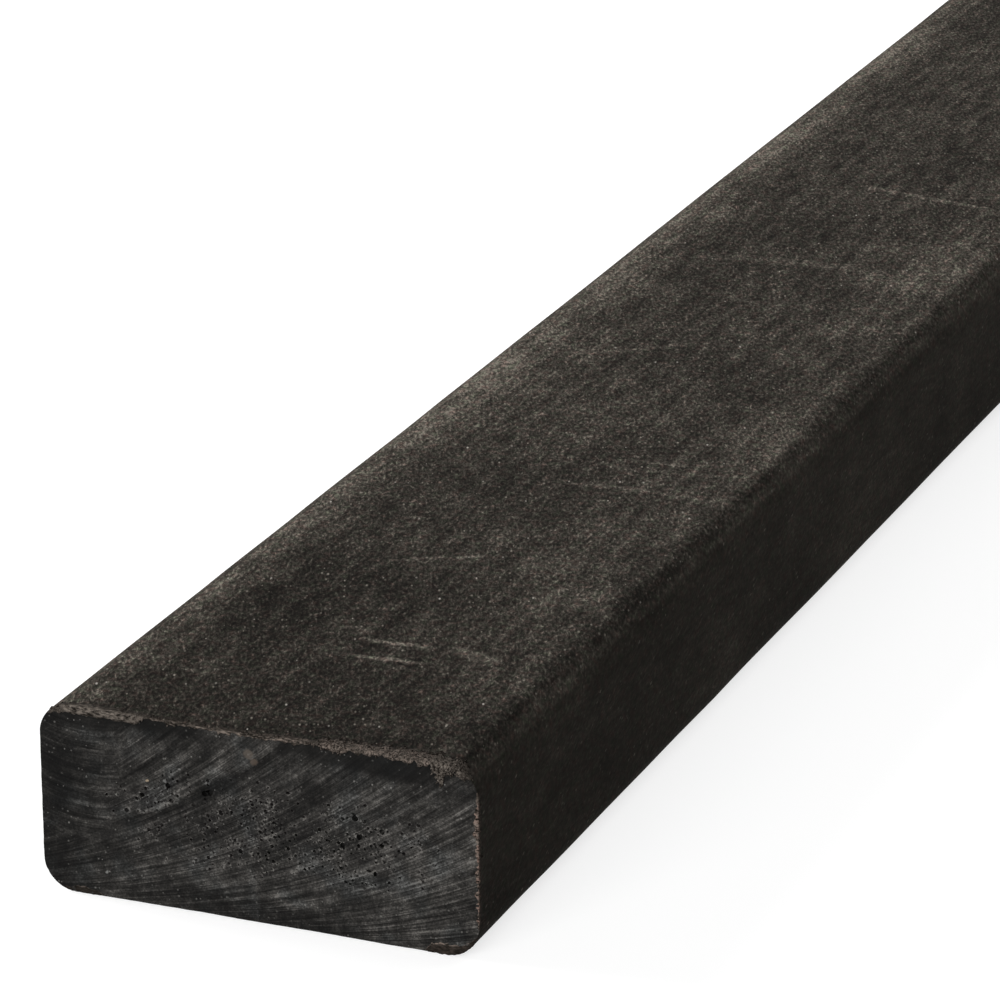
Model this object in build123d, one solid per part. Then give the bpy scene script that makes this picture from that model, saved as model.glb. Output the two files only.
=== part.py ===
from build123d import *
import os

# A length of solid plastic lumber, sold by the nominal size 2 x 4 in and 8 ft.
# It is one moulded piece with the same section from end to end, and its ends are sawn square.
# The frame's origin is the centre of the underside. The length runs along Y and the width along X.

# Driving dimensions in millimetres
INCH = 25.4
FOOT = 12 * INCH
BOARD_WIDTH = 3.5 * INCH
BOARD_THICKNESS = 1.5 * INCH
BOARD_LENGTH = 8 * FOOT
ARRIS_RADIUS = 0.25 * INCH

PARTS_FOLDER = "parts"


def board():
    """One solid: the section, with its four rounded arrises, drawn from the near sawn end to the far one."""
    near_end = Plane.XZ.offset(BOARD_LENGTH / 2)
    with BuildPart() as body:
        with BuildSketch(near_end) as section:
            Rectangle(BOARD_WIDTH, BOARD_THICKNESS, align=(Align.CENTER, Align.MIN))
            fillet(section.vertices(), radius=ARRIS_RADIUS)
        extrude(amount=-BOARD_LENGTH)
    return body.part


def main():
    os.makedirs(PARTS_FOLDER, exist_ok=True)
    export_step(board(), os.path.join(PARTS_FOLDER, "board.step"))


main()
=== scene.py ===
import math

import bmesh
import bpy
import numpy as np
from mathutils import Matrix, Vector, geometry


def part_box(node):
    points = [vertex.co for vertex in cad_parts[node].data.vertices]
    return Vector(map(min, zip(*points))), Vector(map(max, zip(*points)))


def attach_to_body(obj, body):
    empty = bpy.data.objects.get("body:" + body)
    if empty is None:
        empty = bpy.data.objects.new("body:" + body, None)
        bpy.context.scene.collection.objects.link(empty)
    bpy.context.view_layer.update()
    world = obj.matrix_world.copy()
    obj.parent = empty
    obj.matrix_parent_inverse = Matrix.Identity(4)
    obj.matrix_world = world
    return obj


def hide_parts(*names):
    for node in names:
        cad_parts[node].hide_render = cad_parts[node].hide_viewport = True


# Dresses a length of solid plastic lumber: the moulded skin, the two sawn ends with their gas pores,
# and the torn skin that the blade leaves along their edges. Sizes are in millimetres unless a name says else.

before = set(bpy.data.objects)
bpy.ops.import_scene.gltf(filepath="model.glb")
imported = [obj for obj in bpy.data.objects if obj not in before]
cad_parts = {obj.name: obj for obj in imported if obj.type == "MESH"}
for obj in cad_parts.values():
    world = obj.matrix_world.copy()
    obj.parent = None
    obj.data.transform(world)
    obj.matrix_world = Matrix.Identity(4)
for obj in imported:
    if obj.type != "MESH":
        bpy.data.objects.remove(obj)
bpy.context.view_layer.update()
print("frame loaded:", len(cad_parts), "node")

mm = 0.001
boxLow, boxHigh = (Vector(corner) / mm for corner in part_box("board"))
boardWidth = boxHigh.x - boxLow.x
boardThick = boxHigh.z - boxLow.z
boardLength = boxHigh.y - boxLow.y
arrisRadius = boardThick / 6  # a quarter of an inch on a board an inch and a half thick


# Small tools

def softNoise(u, v, columns, rows, seed):  # smooth values from -1 to 1, one for each whole step, repeating
    table = np.random.default_rng(seed).uniform(-1, 1, (columns, rows))
    iu, iv = np.floor(u).astype(int), np.floor(v).astype(int)
    fu, fv = u - iu, v - iv
    fu, fv = fu * fu * (3 - 2 * fu), fv * fv * (3 - 2 * fv)
    near = table[iu % columns, iv % rows] * (1 - fu) + table[(iu + 1) % columns, iv % rows] * fu
    far = table[iu % columns, (iv + 1) % rows] * (1 - fu) + table[(iu + 1) % columns, (iv + 1) % rows] * fu
    return near * (1 - fv) + far * fv


def ramp(value, start, stop):  # 0 at start, 1 at stop, eased
    t = np.clip((value - start) / (stop - start), 0, 1)
    return t * t * (3 - 2 * t)


def addNode(tree, kind, inputs=None, **settings):
    node = tree.nodes.new(kind)
    for name, value in settings.items():
        setattr(node, name, value)
    for key, value in (inputs or {}).items():
        if isinstance(value, bpy.types.NodeSocket):
            tree.links.new(value, node.inputs[key])
        else:
            node.inputs[key].default_value = value
    return node


def firstOf(tree, kind, inputs=None, **settings):  # the first output of a new node
    return addNode(tree, kind, inputs, **settings).outputs[0]


def calc(tree, operation, *values, clamp=False):  # one Math node, read as a value
    return firstOf(tree, "ShaderNodeMath", dict(enumerate(values)), operation=operation, use_clamp=clamp)


def vectorCalc(tree, operation, *values):
    node = addNode(tree, "ShaderNodeVectorMath", dict(enumerate(values)), operation=operation)
    return node.outputs["Value" if operation in ("LENGTH", "DISTANCE", "DOT_PRODUCT") else "Vector"]


def split(tree, vector):
    return addNode(tree, "ShaderNodeSeparateXYZ", {0: vector}).outputs


def gather(tree, *parts):
    return firstOf(tree, "ShaderNodeCombineXYZ", dict(enumerate(parts)))


def blend(tree, share, first, second):
    return firstOf(tree, "ShaderNodeMix", {0: share, 2: first, 3: second})


def remap(tree, value, fromLow, fromHigh, toLow=0.0, toHigh=1.0, smooth=False):
    inputs = {0: value, 1: fromLow, 2: fromHigh, 3: toLow, 4: toHigh}
    kind = "SMOOTHSTEP" if smooth else "LINEAR"
    return firstOf(tree, "ShaderNodeMapRange", inputs, interpolation_type=kind)


def mixColour(tree, factor, first, second):
    inputs = {0: factor, 6: first, 7: second}
    return addNode(tree, "ShaderNodeMix", inputs, data_type="RGBA").outputs[2]


def flatNoise(tree, place, scale, detail=2.0, roughness=0.5):  # in two dimensions, about -0.3 to 0.3
    inputs = {"Vector": place, "Scale": scale, "Detail": detail, "Roughness": roughness}
    noise = addNode(tree, "ShaderNodeTexNoise", inputs, noise_dimensions="2D")
    return calc(tree, "SUBTRACT", noise.outputs["Fac"], 0.5)


def drift(tree, place, scale, detail=1.0, **settings):  # a random direction at each place
    inputs = {"Vector": place, "Scale": scale, "Detail": detail}
    noise = addNode(tree, "ShaderNodeTexNoise", inputs, **settings)
    return vectorCalc(tree, "SUBTRACT", noise.outputs["Color"], (0.5, 0.5, 0.5))


def wander(tree, place, reach, scale, **settings):  # places moved about at random
    return vectorCalc(tree, "MULTIPLY_ADD", drift(tree, place, scale, **settings), reach, place)


def turnFlat(tree, place, angle, **settings):  # places turned about the upright axis
    inputs = {"Vector": place, "Angle": angle}
    return addNode(tree, "ShaderNodeVectorRotate", inputs, rotation_type="Z_AXIS", **settings).outputs[0]


def chain(tree, operation, total, *values):  # one operation over several values
    for value in values:
        total = calc(tree, operation, total, value)
    return total


def addUp(tree, total, *terms):  # a start plus each value times its weight
    for value, weight in terms:
        total = calc(tree, "MULTIPLY_ADD", value, weight, total)
    return total


def scaleBy(tree, vector, amount):
    return addNode(tree, "ShaderNodeVectorMath", {0: vector, "Scale": amount}, operation="SCALE").outputs[0]


def brighten(tree, colour, stops):  # a colour times e to the power of stops
    return scaleBy(tree, colour, calc(tree, "EXPONENT", stops))


def newGroup(name, inputs, outputs, kind="ShaderNodeTree"):  # each socket's type, or else its default
    tree = bpy.data.node_groups.new(name, kind)
    for way, sockets in (("INPUT", inputs), ("OUTPUT", outputs)):
        for label, given in sockets.items():
            typed = isinstance(given, str)
            kindName = given if typed else type(given).__name__.capitalize()
            socket = tree.interface.new_socket(name=label, in_out=way, socket_type="NodeSocket" + kindName)
            if not typed:
                socket.default_value = given
    return tree, tree.nodes.new("NodeGroupInput").outputs, tree.nodes.new("NodeGroupOutput").inputs


def useGroup(tree, group, inputs):
    return addNode(tree, "ShaderNodeGroup", inputs, node_tree=group).outputs[0]


def srgb(red, green, blue):  # a colour as a screen shows it, as Blender wants it
    parts = [part / 255 for part in (red, green, blue)]
    return (*[part / 12.92 if part <= 0.04045 else ((part + 0.055) / 1.055) ** 2.4 for part in parts], 1.0)


def newMaterial(name, roughness, specular):
    material = bpy.data.materials.new(name)
    material.use_nodes = True
    tree = material.node_tree
    shader = tree.nodes["Principled BSDF"]
    shader.inputs["Roughness"].default_value = roughness
    shader.inputs["Specular IOR Level"].default_value = specular
    return material, tree, shader


def objectPlace(tree):  # places on the piece, in millimetres
    return vectorCalc(tree, "MULTIPLY", addNode(tree, "ShaderNodeTexCoord").outputs["Object"], (1 / mm,) * 3)


def painted(tree, name):  # a value on the mesh's points, read in a material
    return addNode(tree, "ShaderNodeAttribute", attribute_name=name).outputs["Fac"]


def finishMaterial(tree, shader, colour, relief, height):  # relief: the bump's strength and its height
    strength, distance = relief
    inputs = {"Strength": strength, "Distance": distance * mm, "Height": height}
    tree.links.new(colour, shader.inputs["Base Color"])
    tree.links.new(firstOf(tree, "ShaderNodeBump", inputs), shader.inputs["Normal"])


def geo(tree, kind, inputs=None, **settings):
    return firstOf(tree, "GeometryNode" + kind, inputs, **settings)


def readValue(tree, name):  # a value on the mesh's points, read in a Geometry Nodes group
    return geo(tree, "InputNamedAttribute", {"Name": name}, data_type="FLOAT")


def storeValue(tree, geometry, name, value):
    inputs = {"Geometry": geometry, "Name": name, "Value": value}
    return geo(tree, "StoreNamedAttribute", inputs, domain="POINT")


def randomShare(tree, seed, power):  # 0 to 1, crowded towards 0
    drawn = addNode(tree, "FunctionNodeRandomValue", {2: 0.0, 3: 1.0, "Seed": seed})
    return calc(tree, "POWER", drawn.outputs[1], power)


def randomVector(tree, low, high, seed):
    return firstOf(tree, "FunctionNodeRandomValue", {0: low, 1: high, "Seed": seed}, data_type="FLOAT_VECTOR")


def placeSolids(tree, push, inputs):  # copies of a shape on points, made real and uneven
    solids = geo(tree, "RealizeInstances", {0: geo(tree, "InstanceOnPoints", inputs)})
    return geo(tree, "SetPosition", {"Geometry": solids, "Offset": push})


def addNodes(piece, tree, values):  # a Geometry Nodes modifier with its named inputs filled in
    modifier = piece.modifiers.new(tree.name, "NODES")
    modifier.node_group = tree
    for socket in tree.interface.items_tree:
        if socket.in_out == "INPUT" and socket.name in values:
            modifier[socket.identifier] = values[socket.name]


def bake(piece):  # the finished shape of a piece with modifiers, as a plain mesh
    graph = bpy.context.evaluated_depsgraph_get()
    graph.update()
    mesh = bpy.data.meshes.new_from_object(
        piece.evaluated_get(graph), preserve_all_data_layers=True, depsgraph=graph)
    piece.modifiers.clear()
    old, piece.data = piece.data, mesh
    name = old.name
    bpy.data.meshes.remove(old)
    mesh.name = name


def newPiece(name, mesh):
    piece = bpy.data.objects.new(name, mesh)
    bpy.context.scene.collection.objects.link(piece)
    return piece


def paint(mesh, name, values):  # a value on each of the mesh's points
    mesh.attributes.new(name, "FLOAT", "POINT").data.foreach_set("value", values)


def withBmesh(mesh, change):
    solid = bmesh.new()
    solid.from_mesh(mesh)
    change(solid)
    solid.to_mesh(mesh)
    solid.free()
    mesh.update()


# Shared effects

def makeStrandGroup():
    # Short fibres lying every way, one to a cell, as a mask
    tree, given, result = newGroup("shortStrands", {
        "Place": "Vector", "Cell": 1.0, "Length": 0.8, "Width": 0.2, "Share": 0.7}, {"Strands": "Float"})
    bent = wander(tree, given["Place"], (0.9, 0.9, 0.0), 0.9)
    cells = vectorCalc(tree, "DIVIDE", bent, given["Cell"])
    pick = addNode(tree, "ShaderNodeTexVoronoi", {"Vector": cells, "Scale": 1.0}, voronoi_dimensions="2D")
    offset = vectorCalc(tree, "SUBTRACT", cells, pick.outputs["Position"])
    draw = addNode(tree, "ShaderNodeSeparateColor", {0: pick.outputs["Color"]}).outputs
    turned = turnFlat(tree, offset, calc(tree, "MULTIPLY", draw[0], 2 * math.pi))
    parts = addNode(tree, "ShaderNodeSeparateXYZ", {0: turned}).outputs
    inside = []
    for part, size in ((parts[0], given["Length"]), (parts[1], given["Width"])):
        away = calc(tree, "MULTIPLY", calc(tree, "ABSOLUTE", part), given["Cell"])
        share = calc(tree, "DIVIDE", away, calc(tree, "MULTIPLY", size, 0.5))
        inside.append(calc(tree, "SUBTRACT", 1.0, share, clamp=True))
    body = calc(tree, "MULTIPLY", calc(tree, "POWER", inside[0], 0.5), inside[1])
    kept = calc(tree, "LESS_THAN", draw[1], given["Share"])
    strength = calc(tree, "MULTIPLY", kept, remap(tree, draw[2], 0.0, 1.0, 0.45, 1.0))
    tree.links.new(calc(tree, "MULTIPLY", body, strength), result["Strands"])
    return tree


def makeSpeckGroup():
    # Small round bright grains, few and far between, as a mask
    tree, given, result = newGroup("brightSpecks", {
        "Place": "Vector", "Cell": 2.0, "Radius": 0.15, "Share": 0.3}, {"Specks": "Float"})
    cells = vectorCalc(tree, "DIVIDE", given["Place"], given["Cell"])
    pick = addNode(tree, "ShaderNodeTexVoronoi", {"Vector": cells, "Scale": 1.0}, voronoi_dimensions="2D")
    draw = addNode(tree, "ShaderNodeSeparateColor", {0: pick.outputs["Color"]}).outputs
    away = calc(tree, "MULTIPLY", pick.outputs["Distance"], given["Cell"])
    reach = calc(tree, "MULTIPLY", given["Radius"], remap(tree, draw[0], 0.0, 1.0, 0.6, 1.4))
    body = calc(tree, "SUBTRACT", 1.0, calc(tree, "DIVIDE", away, reach), clamp=True)
    kept = calc(tree, "LESS_THAN", draw[1], given["Share"])
    strength = calc(tree, "MULTIPLY", kept, remap(tree, draw[2], 0.0, 1.0, 0.35, 1.0))
    tree.links.new(calc(tree, "MULTIPLY", calc(tree, "POWER", body, 0.6), strength), result["Specks"])
    return tree


def makeScuffGroup():
    # One feathered scuff mark of a given place, turn, length and width, as a mask
    tree, given, result = newGroup("scuffMark", {
        "Place": "Vector", "Centre": "Vector", "Turn": 0.0, "Length": 10.0, "Width": 0.8}, {"Scuff": "Float"})
    offset = vectorCalc(tree, "SUBTRACT", given["Place"], given["Centre"])
    turned = turnFlat(tree, offset, given["Turn"], invert=True)
    parts = addNode(tree, "ShaderNodeSeparateXYZ", {0: turned}).outputs
    inside = []
    for part, size, full in ((parts[0], given["Length"], 0.35), (parts[1], given["Width"], 0.2)):
        share = calc(tree, "DIVIDE", calc(tree, "ABSOLUTE", part), size)
        inside.append(remap(tree, share, 0.5, full, smooth=True))
    tree.links.new(calc(tree, "MULTIPLY", *inside), result["Scuff"])
    return tree


def makeFleckGroup():
    # One round fleck of foreign plastic about a point of the board, as a mask
    tree, given, result = newGroup("fleckSpot", {
        "Place": "Vector", "Centre": "Vector", "Radius": 0.4}, {"Fleck": "Float"})
    away = vectorCalc(tree, "DISTANCE", given["Place"], given["Centre"])
    share = calc(tree, "DIVIDE", away, given["Radius"])
    tree.links.new(remap(tree, share, 1.1, 0.6, smooth=True), result["Fleck"])
    return tree


strandGroup = makeStrandGroup()
speckGroup = makeSpeckGroup()
scuffGroup = makeScuffGroup()
fleckGroup = makeFleckGroup()
print("shared effects made")


def addSpecks(tree, colour, place, look, *masks):  # look: cell, radius, share and strength, and their colour
    cell, radius, share, strength, speckColour = look
    specks = useGroup(tree, speckGroup, {"Place": place, "Cell": cell, "Radius": radius, "Share": share})
    return mixColour(tree, chain(tree, "MULTIPLY", specks, *masks, strength), colour, speckColour)


# Moulded skin

skinLook = {
    "base": srgb(47, 44, 40),
    "warm": srgb(51, 43, 39),
    "green": srgb(44, 45, 38),
    "finish": (0.78, 0.013),          # roughness and specular level
    "relief": (0.7, 0.05),            # strength and height of the bump
    # Cell, length, width and share of the strands
    "strandSizes": [(0.8, 1.2, 0.4, 0.8), (1.5, 2.2, 0.5, 0.6)],
    "drawnOut": 0.42,                 # strands and grain are longer along the board, and a little askew
    "askew": 22.0,                    # degrees
    "grain": (1.5, 2.0, 0.7),         # scale, detail and roughness
    # Share of the scale along the board, scale, detail and roughness
    "mottle": (0.27, 0.3, 4.0, 0.8),
    "brushed": (0.035, 0.4, 3.0, 0.7),
    "clouds": (1.0, 0.02, 3.0, 0.6),
    "weights": (1.3, 4.1, 3.3, 1.2),  # of strands, grain, mottle and brushing in the texture
    "cloudWeight": 1.6,
    "level": -0.3,
    "sideShade": -0.54,
    "brightest": 1.9,
    # Cell, radius, share, strength and colour of the light grains
    "specks": (1.3, 0.2, 0.38, 0.75, srgb(165, 158, 147)),
    "bright": (4.6, 0.2, 0.13, 0.7, srgb(205, 199, 190)),
}
# How the skin changes over a distance: from, to, and the value at each. The distance runs round the section
# from the board's edge in "Past" names and else from the middle of the top, and in "End" names from the end
skinFades = {
    "calmPast": (-7.0, 2.0, 1.0, 0.42),
    "undersidePast": (30.0, 38.0, 0.0, 1.0),
    "sidePast": (-6.2, -2.0, 0.0, 1.0),
    # Lighter towards the left arris: partly real wear, partly painted highlight
    "leftWearAndHighlight": (-25.0, -40.5, 0.0, 0.98),
    "leftSide": (-52.0, -44.0, 0.3, 1.0),
    # Lighter towards the right of the top, less so near the end
    "rightLighter": (6.0, 32.0, 0.0, 0.28),
    "rightByEnd": (30.0, 120.0, 0.35, 1.0),
    "shadeEnd": (36.0, 130.0, -0.37, 0.05),
    "arrisHighlight": (1.8, 0.2, 0.0, 0.4),      # these two from the middle of a narrow band: a stripe of painted highlight and one of painted shade
    "arrisShade": (1.5, 0.2, 0.0, 1.0),
}
arrisBands = {"arrisHighlight": 1.2, "arrisShade": 4.2}  # how far in from the board's edge each band lies
# Light marks across the board: x, distance from the near end, turn in degrees, length, width, strength
scuffMarks = [
    (6.2, 51.0, 4, 15.5, 2.6, 1.4), (8.0, 42.8, 4, 17.5, 2.6, 1.4), (23, 50, -20, 13, 6.0, 1),
    (-24, 24, -8, 9, 2.0, 0.6), (30, 85, 12, 18, 16.0, 0.5), (-4, 96, 28, 24, 2.2, 0.8),
    (12, 147, 3, 26, 3.0, 0.7), (22, 152, -30, 44, 2.0, 0.55), (23, 147, -2, 42, 1.8, 0.5),
    (24, 160, 9, 30, 1.8, 0.5), (16, 164, 8, 20, 2.6, 0.6), (-14, 232, 35, 30, 2.4, 0.7),
    (-2.5, 274, 3, 8, 3.0, 0.9), (-6, 305, 6, 40, 7.0, 0.6), (10.6, 366, -12, 40, 3.6, 1),
    (8, 452, -3, 30, 4.5, 0.8), (14, 560, 3, 38, 5.0, 0.8),
]


def addScuffMarks(tree, place):
    moved = wander(tree, place, (1.6, 1.6, 0.0), 0.25, noise_dimensions="2D")
    layers = []
    for x, fromEnd, turn, length, width, strong in scuffMarks:
        centre = (x, fromEnd - boardLength / 2, 0.0)
        inputs = {"Place": moved, "Centre": centre, "Turn": math.radians(turn),
                  "Length": length, "Width": width}
        layers.append(calc(tree, "MULTIPLY", useGroup(tree, scuffGroup, inputs), strong))
    broken = remap(tree, flatNoise(tree, place, 0.9), -0.3, 0.0)
    return calc(tree, "MULTIPLY", chain(tree, "MAXIMUM", *layers), broken)


def makeSkinMaterial():
    material, tree, shader = newMaterial("mouldedSkin", *skinLook["finish"])
    unrolled = firstOf(tree, "ShaderNodeUVMap", uv_map="unrolledSkin")
    place = vectorCalc(tree, "MULTIPLY", unrolled, (1 / mm, 1 / mm, 0.0))
    around, along, _ = split(tree, place)
    past = calc(tree, "SUBTRACT", calc(tree, "ABSOLUTE", around), boardWidth / 2)
    fromEnd = calc(tree, "SUBTRACT", boardLength / 2, calc(tree, "ABSOLUTE", along))

    def fade(value, name):
        return remap(tree, value, *skinFades[name], smooth=True)

    askew = turnFlat(tree, place, math.radians(skinLook["askew"]), invert=True)
    drawn = vectorCalc(tree, "MULTIPLY", askew, (1.0, skinLook["drawnOut"], 0.0))
    layers = []
    for number, (cell, length, width, share) in enumerate(skinLook["strandSizes"]):
        shifted = vectorCalc(tree, "ADD", drawn, (17.3 * number, 9.1 * number, 0.0))
        inputs = {"Place": shifted, "Cell": cell, "Length": length, "Width": width, "Share": share}
        layers.append(useGroup(tree, strandGroup, inputs))
    strands = chain(tree, "MAXIMUM", *layers)
    grain = flatNoise(tree, drawn, *skinLook["grain"])
    mottle, brushed, clouds = (
        flatNoise(tree, vectorCalc(tree, "MULTIPLY", place, (1.0, share, 0.0)), *noise)
        for share, *noise in (skinLook[name] for name in ("mottle", "brushed", "clouds")))
    texture = addUp(tree, skinLook["level"], *zip((strands, grain, mottle, brushed), skinLook["weights"]))
    # The narrow edges are smoother than the wide faces
    fromBelow = fade(past, "undersidePast")
    strength = calc(tree, "MAXIMUM", fade(past, "calmPast"), fromBelow)
    # Lighter along the left arris, partly wear and partly painted highlight; a painted highlight stripe along
    # each arris; and lighter towards the right of the top, less so near the end
    leftWearAndHighlight = calc(tree, "MULTIPLY", fade(around, "leftWearAndHighlight"), fade(around, "leftSide"))
    rightLighter = calc(tree, "MULTIPLY", fade(around, "rightLighter"), fade(fromEnd, "rightByEnd"))
    arrisHighlight, arrisShade = (
        fade(calc(tree, "ABSOLUTE", calc(tree, "ADD", past, inward)), name)
        for name, inward in arrisBands.items())
    # Painted shade: a dark stripe just inside each arris, darkest near the end
    arrisShade = calc(tree, "MULTIPLY", arrisShade, remap(tree, fromEnd, 15.0, 200.0, -0.36, -0.06))
    # Painted shade: the narrow edges darker than the wide faces, and the top darker near the end
    aside = calc(tree, "SUBTRACT", fade(past, "sidePast"), fromBelow)
    shade = blend(tree, aside, fade(fromEnd, "shadeEnd"), skinLook["sideShade"])
    stops = addUp(tree, shade, (texture, strength), (clouds, skinLook["cloudWeight"]))
    stops = chain(tree, "ADD", stops, leftWearAndHighlight, rightLighter, arrisHighlight, arrisShade)
    markGain = addUp(tree, 0.95, (strands, 0.5), (grain, -2.0))
    stops = addUp(tree, stops, (addScuffMarks(tree, place), markGain))
    stops = calc(tree, "MINIMUM", stops, skinLook["brightest"])
    hue = flatNoise(tree, place, 0.5, 3.0, 0.7)
    colour = mixColour(tree, remap(tree, hue, 0.02, 0.2), skinLook["base"], skinLook["warm"])
    colour = mixColour(tree, remap(tree, hue, -0.02, -0.2), colour, skinLook["green"])
    gathered = remap(tree, flatNoise(tree, place, 0.11, 3.0, 0.7), -0.08, 0.18)
    colour = addSpecks(tree, brighten(tree, colour, stops), drawn, skinLook["specks"], gathered, strength)
    colour = addSpecks(tree, colour, drawn, skinLook["bright"], strength, strength)
    height = addUp(tree, 0.0, (strands, 0.8), (grain, 1.2))
    finishMaterial(tree, shader, colour, skinLook["relief"], calc(tree, "MULTIPLY", height, strength))
    return material


skinMaterial = makeSkinMaterial()


# Sawn ends

sawnLook = {
    "base": srgb(48.5, 47, 45),
    "cool": srgb(46, 46, 45),
    "finish": (0.58, 0.062),    # roughness and specular level
    "relief": (0.6, 0.06),      # strength and height of the bump
    "bladeRadius": 152.4,       # a 12 in blade
    "bladeHeight": 151.0,       # its centre above the underside as it leaves the cut
    # Streaks: fineness across and along the strokes, detail, weight
    "streaks": [(2.9, 0.16, 2.0, 1.56), (0.9, 0.07, 2.0, 3.2), (0.28, 0.035, 1.0, 2.4)],
    "scored": (1.3, 0.11, 1.0),
    # The bowl that the streaks swirl round at the left: its middle, the width of its curve and its fineness
    "bowl": (-34.0, 55.0, 1.7),
    # Scale, detail and roughness
    "grit": (2.1, 2.0, 0.8),
    "mottle": (0.33, 3.0, 0.7),
    "clouds": (0.07, 2.0, 0.6),
    "smearCalm": 0.45,          # how much of the texture a smear takes away
    "brightest": 1.5,
    # Cell, radius, share, strength and colour of the light grains
    "specks": (1.25, 0.19, 0.4, 0.75, srgb(150, 148, 143)),
    "fleckStrength": 0.7,
}
flecks = [  # x, z, radius and colour of flecks in the near end
    (-22.4, 25.1, 0.42, srgb(168, 150, 126)), (-18.7, 25.6, 0.45, srgb(108, 108, 106)),
    (-31.3, 5.1, 0.4, srgb(128, 128, 125)), (-15.7, 28.4, 0.28, srgb(120, 119, 116)),
    (-1.4, 33.8, 1.1, srgb(84, 77, 70)), (-0.3, 32.4, 0.9, srgb(80, 70, 62)),
]


def makeSawnMaterial():
    material, tree, shader = newMaterial("sawnPlastic", *sawnLook["finish"])
    place = objectPlace(tree)
    x, _, z = split(tree, place)
    flat = gather(tree, x, z)
    # The blade's arcs all have one radius, so this is the same along each of them
    drop = calc(tree, "SUBTRACT", sawnLook["bladeHeight"], z)
    reach = calc(tree, "SUBTRACT", sawnLook["bladeRadius"] ** 2, calc(tree, "MULTIPLY", drop, drop))
    stroke = calc(tree, "SUBTRACT", x, calc(tree, "SQRT", calc(tree, "MAXIMUM", reach, 0.0)))
    middle, curve, fineness = sawnLook["bowl"]
    aside = calc(tree, "SUBTRACT", x, middle)
    bowl = addUp(tree, z, (calc(tree, "MULTIPLY", aside, aside), -1 / curve))
    level = calc(tree, "MULTIPLY", bowl, fineness)
    tone, swirl, smear, poreRim = (painted(tree, name) for name in ("tone", "swirl", "smear", "poreRim"))

    def streakNoise(across, fine, stretch, detail, roughness):
        spot = gather(tree, calc(tree, "MULTIPLY", across, fine), calc(tree, "MULTIPLY", x, stretch))
        return flatNoise(tree, spot, 1.0, detail, roughness)

    streaks = []
    for fine, stretch, detail, weight in sawnLook["streaks"]:
        layers = [streakNoise(across, fine, stretch, detail, 0.6) for across in (stroke, level)]
        streaks.append((blend(tree, swirl, *layers), weight))
    finest = streaks[0][0]
    scratch = remap(tree, finest, 0.17, 0.28)
    scored = remap(tree, streakNoise(stroke, *sawnLook["scored"], 0.5), 0.19, 0.25)
    grit, mottle, clouds = (flatNoise(tree, flat, *sawnLook[name]) for name in ("grit", "mottle", "clouds"))
    texture = addUp(tree, 0.0, *streaks, (scratch, 0.5), (scored, 0.45),
                    (grit, 2.9), (mottle, 3.2), (clouds, 1.2))
    calm = calc(tree, "SUBTRACT", 1.0, calc(tree, "MULTIPLY", smear, sawnLook["smearCalm"]))
    # Painted highlight on the pores' rims
    rim = calc(tree, "MULTIPLY", poreRim, remap(tree, grit, -0.15, 0.1, 0.55, 1.0))
    toned = calc(tree, "SUBTRACT", tone, 1.0)
    # Painted light and shade from the tone, painted shadow under the lip, and painted highlights on the
    # pores' rims
    stops = addUp(tree, -0.25, (texture, calm), (toned, 1.6), (smear, -1.15), (rim, 2.5))
    stops = calc(tree, "MINIMUM", stops, sawnLook["brightest"])
    hue = remap(tree, flatNoise(tree, flat, 0.13), 0.0, 0.2)
    colour = brighten(tree, mixColour(tree, hue, sawnLook["base"], sawnLook["cool"]), stops)
    gathered = remap(tree, flatNoise(tree, flat, 0.3, 2.0, 0.7), -0.06, 0.2)
    colour = addSpecks(tree, colour, flat, sawnLook["specks"], gathered)
    moved = wander(tree, place, (0.5, 0.5, 0.5), 1.4)
    for fleckX, fleckZ, radius, fleckColour in flecks:
        inputs = {"Place": moved, "Centre": (fleckX, -boardLength / 2, fleckZ), "Radius": radius}
        spot = calc(tree, "MULTIPLY", useGroup(tree, fleckGroup, inputs), sawnLook["fleckStrength"])
        colour = mixColour(tree, spot, colour, fleckColour)
    height = addUp(tree, 0.0, (finest, 1.4), (grit, 1.6))
    finishMaterial(tree, shader, colour, sawnLook["relief"], calc(tree, "MULTIPLY", height, calm))
    return material


sawnMaterial = makeSawnMaterial()
print("skin and sawn materials made")


# The board: one closed mesh, fine towards its ends

boardShape = {
    "arrisSteps": 8, "wideSteps": 16, "narrowSteps": 6,   # steps round the section, away from the ends
    "lengthStep": 10.0,
    "endStations": [(0, 3), (0.3, 3), (0.7, 3), (1.2, 3), (1.9, 3), (2.8, 2), (4.2, 2), (6.2, 2),
                    (9.0, 1), (13.0, 1), (18.0, 0)],      # distance from the end, halvings of the steps
    "capSpacing": 0.5,
    "sink": 0.08,                                          # hollow of the faces from cooling
    "proud": 0.06,                                         # of the skin as a whole
    # Waves of the skin: height, number round the section, length, number along, seed
    "waves": [(0.09, 6, 170, 32, 11), (0.05, 20, 33, 128, 12), (0.015, 76, 9, 512, 13)],
}
halfFlat = boardWidth / 2 - arrisRadius
sideFlat = boardThick - 2 * arrisRadius
quarterArc = math.pi / 2 * arrisRadius
perimeter = 4 * halfFlat + 2 * sideFlat + 4 * quarterArc
rollDepth = 0.45  # how far along the skin the edge that rolls over at the cut reaches


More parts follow.
